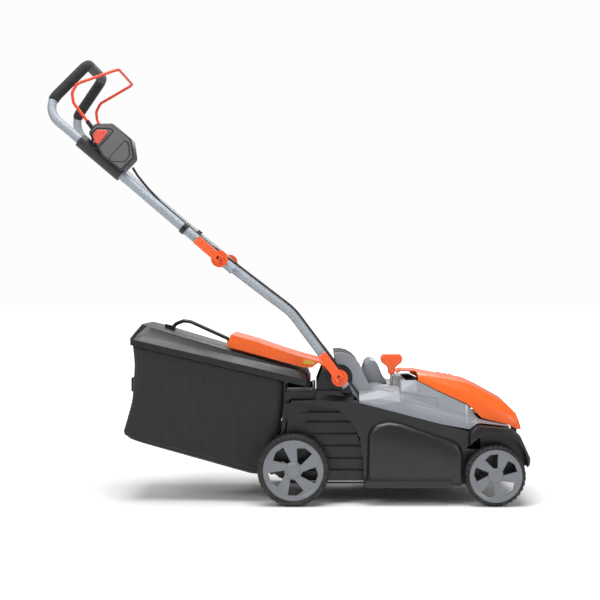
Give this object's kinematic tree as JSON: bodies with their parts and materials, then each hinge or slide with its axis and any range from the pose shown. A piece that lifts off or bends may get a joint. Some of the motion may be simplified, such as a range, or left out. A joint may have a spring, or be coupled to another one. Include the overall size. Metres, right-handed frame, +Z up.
{
  "type": "lawn mower",
  "caption": "Walk-behind battery rotary lawn mower with a folding tubular handle, bail bar, rear grass bag, hinged battery hood and central cutting height lever.",
  "frame": {"origin": "on the ground, centred on the mower's length and width", "axes": "+X forward, +Y to the mower's left, +Z up"},
  "size_m": [1.118, 0.3815, 1.0439],
  "materials": {
    "black_plastic": "moulded, fine grain",
    "silver_plastic": "satin silver grey",
    "orange_plastic": "satin orange",
    "bright_steel": "zinc plated",
    "tube_paint": "silver grey powder coat",
    "bail_paint": "orange red coat",
    "grip_foam": "closed cell foam",
    "tyre_rubber": "moulded tread",
    "rim_silver": "satin grey",
    "bag_cloth": "woven, fine stripe",
    "button_red": "gloss",
    "cable_black": "ribbed sleeve",
    "motor_case": "dark coated"
  },
  "bodies": {
    "deck_body": {"deck": "black_plastic", "body_cover": "silver_plastic", "lever_bracket": "bright_steel", "battery_pack": "black_plastic", "battery_tray": "black_plastic", "safety_key": "orange_plastic", "key_socket": "black_plastic", "controller": "black_plastic", "motor_housing": "motor_case", "hood_hinge_rod": "bright_steel", "flap_hinge_rod": "bright_steel", "pivot_disc_right": "black_plastic", "pivot_disc_left": "black_plastic", "cable_deck": "cable_black"},
    "rotor": {"motor_spindle": "bright_steel", "blade_carrier": "black_plastic", "blade": "bright_steel", "blade_bolt": "bright_steel"},
    "hood": {"battery_hood": "orange_plastic"},
    "flap": {"rear_flap": "orange_plastic"},
    "grass_bag": {"bag_tub": "bag_cloth", "bag_frame": "black_plastic", "bag_lid": "black_plastic", "bag_handle": "black_plastic", "bag_strap": "bag_cloth"},
    "lever": {"height_lever": "bright_steel", "height_knob": "orange_plastic"},
    "link": {"height_link": "bright_steel"},
    "rear_crank": {"rear_axle": "bright_steel"},
    "front_crank": {"front_axle": "bright_steel"},
    "lower_handle": {"lower_tube_right": "tube_paint", "lower_tube_left": "tube_paint", "clamp_seat_lower_right": "orange_plastic", "clamp_seat_lower_left": "orange_plastic", "cable_lower": "cable_black"},
    "upper_frame": {"upper_handle": "tube_paint", "foam_grip": "grip_foam", "switch_outer": "black_plastic", "switch_inner": "black_plastic", "bail_bracket": "black_plastic", "cable_upper": "cable_black", "cable_clip_right": "black_plastic", "cable_clip_left": "black_plastic", "clamp_seat_upper_right": "orange_plastic", "clamp_seat_upper_left": "orange_plastic"},
    "bail_wire": {"bail": "bail_paint", "bail_sleeve": "black_plastic"},
    "button": {"lock_off_button": "button_red"},
    "wheel_rear_right": {"tyre_rear_right": "tyre_rubber", "rim_rear_right": "rim_silver"},
    "wheel_rear_left": {"tyre_rear_left": "tyre_rubber", "rim_rear_left": "rim_silver"},
    "wheel_front_right": {"tyre_front_right": "tyre_rubber", "rim_front_right": "rim_silver"},
    "wheel_front_left": {"tyre_front_left": "tyre_rubber", "rim_front_left": "rim_silver"},
    "lower_clamp_right": {"clamp_lever_lower_right": "orange_plastic"},
    "upper_clamp_right": {"clamp_lever_upper_right": "orange_plastic"},
    "lower_clamp_left": {"clamp_lever_lower_left": "orange_plastic"},
    "upper_clamp_left": {"clamp_lever_upper_left": "orange_plastic"}
  },
  "joints": [
    {"name": "blade_spin", "type": "hinge", "parent": "deck_body", "child": "rotor", "pos_m": [0.28, 0, 0.062], "axis": [0, 0, 1], "continuous": true},
    {"name": "hood_open", "type": "hinge", "parent": "deck_body", "child": "hood", "pos_m": [0.53, 0, 0.176], "axis": [0, 1, 0], "range_deg": [0, 70]},
    {"name": "flap_open", "type": "hinge", "parent": "deck_body", "child": "flap", "pos_m": [0.0845, 0, 0.2985], "axis": [0, 1, 0], "range_deg": [0, 55], "stiffness_Nm_per_rad": 0.35, "springref_deg": -20.05},
    {"name": "bag_lift", "type": "slide", "parent": "deck_body", "child": "grass_bag", "axis": [-0.9736, 0, 0.2284], "range_m": [0, 0.4]},
    {"name": "rear_axle_crank", "type": "hinge", "parent": "deck_body", "child": "rear_crank", "pos_m": [-0.01793, 0, 0.09395], "axis": [0, -1, 0], "range_deg": [0, 42.8]},
    {"name": "front_axle_crank", "type": "hinge", "parent": "deck_body", "child": "front_crank", "pos_m": [0.44707, 0, 0.08095], "axis": [0, -1, 0], "range_deg": [0, 42.8]},
    {"name": "height_lever_swing", "type": "hinge", "parent": "deck_body", "child": "lever", "pos_m": [0.242, -0.08, 0.215], "axis": [0, 1, 0], "range_deg": [0, 25]},
    {"name": "height_link_slide", "type": "slide", "parent": "deck_body", "child": "link", "axis": [-0.8942, 0, 0.4477], "range_m": [0, 0.0421]},
    {"name": "wheel_spin_rear_right", "type": "hinge", "parent": "rear_crank", "child": "wheel_rear_right", "pos_m": [0.01, -0.17, 0.083], "axis": [0, 1, 0], "continuous": true},
    {"name": "wheel_spin_rear_left", "type": "hinge", "parent": "rear_crank", "child": "wheel_rear_left", "pos_m": [0.01, 0.17, 0.083], "axis": [0, 1, 0], "continuous": true},
    {"name": "wheel_spin_front_right", "type": "hinge", "parent": "front_crank", "child": "wheel_front_right", "pos_m": [0.475, -0.17, 0.07], "axis": [0, 1, 0], "continuous": true},
    {"name": "wheel_spin_front_left", "type": "hinge", "parent": "front_crank", "child": "wheel_front_left", "pos_m": [0.475, 0.17, 0.07], "axis": [0, 1, 0], "continuous": true},
    {"name": "lower_handle_fold", "type": "hinge", "parent": "deck_body", "child": "lower_handle", "pos_m": [0.117, 0, 0.293], "axis": [0, -1, 0], "range_deg": [-105, 0]},
    {"name": "upper_handle_fold", "type": "hinge", "parent": "lower_handle", "child": "upper_frame", "pos_m": [-0.16, 0, 0.569], "axis": [0, 1, 0], "range_deg": [0, 135]},
    {"name": "lower_clamp_open_right", "type": "hinge", "parent": "lower_handle", "child": "lower_clamp_right", "pos_m": [0.117, -0.1611, 0.293], "axis": [0.8006, 0, 0.5992], "range_deg": [0, 95]},
    {"name": "upper_clamp_open_right", "type": "hinge", "parent": "upper_frame", "child": "upper_clamp_right", "pos_m": [-0.16, -0.1831, 0.569], "axis": [0.6481, 0, 0.7615], "range_deg": [0, 95]},
    {"name": "lower_clamp_open_left", "type": "hinge", "parent": "lower_handle", "child": "lower_clamp_left", "pos_m": [0.117, 0.1611, 0.293], "axis": [-0.8006, 0, -0.5992], "range_deg": [0, 95]},
    {"name": "upper_clamp_open_left", "type": "hinge", "parent": "upper_frame", "child": "upper_clamp_left", "pos_m": [-0.16, 0.1831, 0.569], "axis": [-0.6481, 0, -0.7615], "range_deg": [0, 95]},
    {"name": "bail_pull", "type": "hinge", "parent": "upper_frame", "child": "bail_wire", "pos_m": [-0.446, 0, 0.859], "axis": [0, 1, 0], "range_deg": [-20, 0], "stiffness_Nm_per_rad": 1.2, "springref_deg": 22.92},
    {"name": "lock_off_press", "type": "slide", "parent": "upper_frame", "child": "button", "axis": [0, 1, 0], "range_m": [0, 0.0035], "stiffness_N_per_m": 700, "springref_m": -0.0015}
  ],
  "couplings": [
    {"joint": "front_axle_crank", "follows": "rear_axle_crank", "ratio": 1},
    {"joint": "height_lever_swing", "follows": "rear_axle_crank", "ratio": 0.58411},
    {"joint": "height_link_slide", "follows": "rear_axle_crank", "m_per_rad": 0.05609}
  ]
}
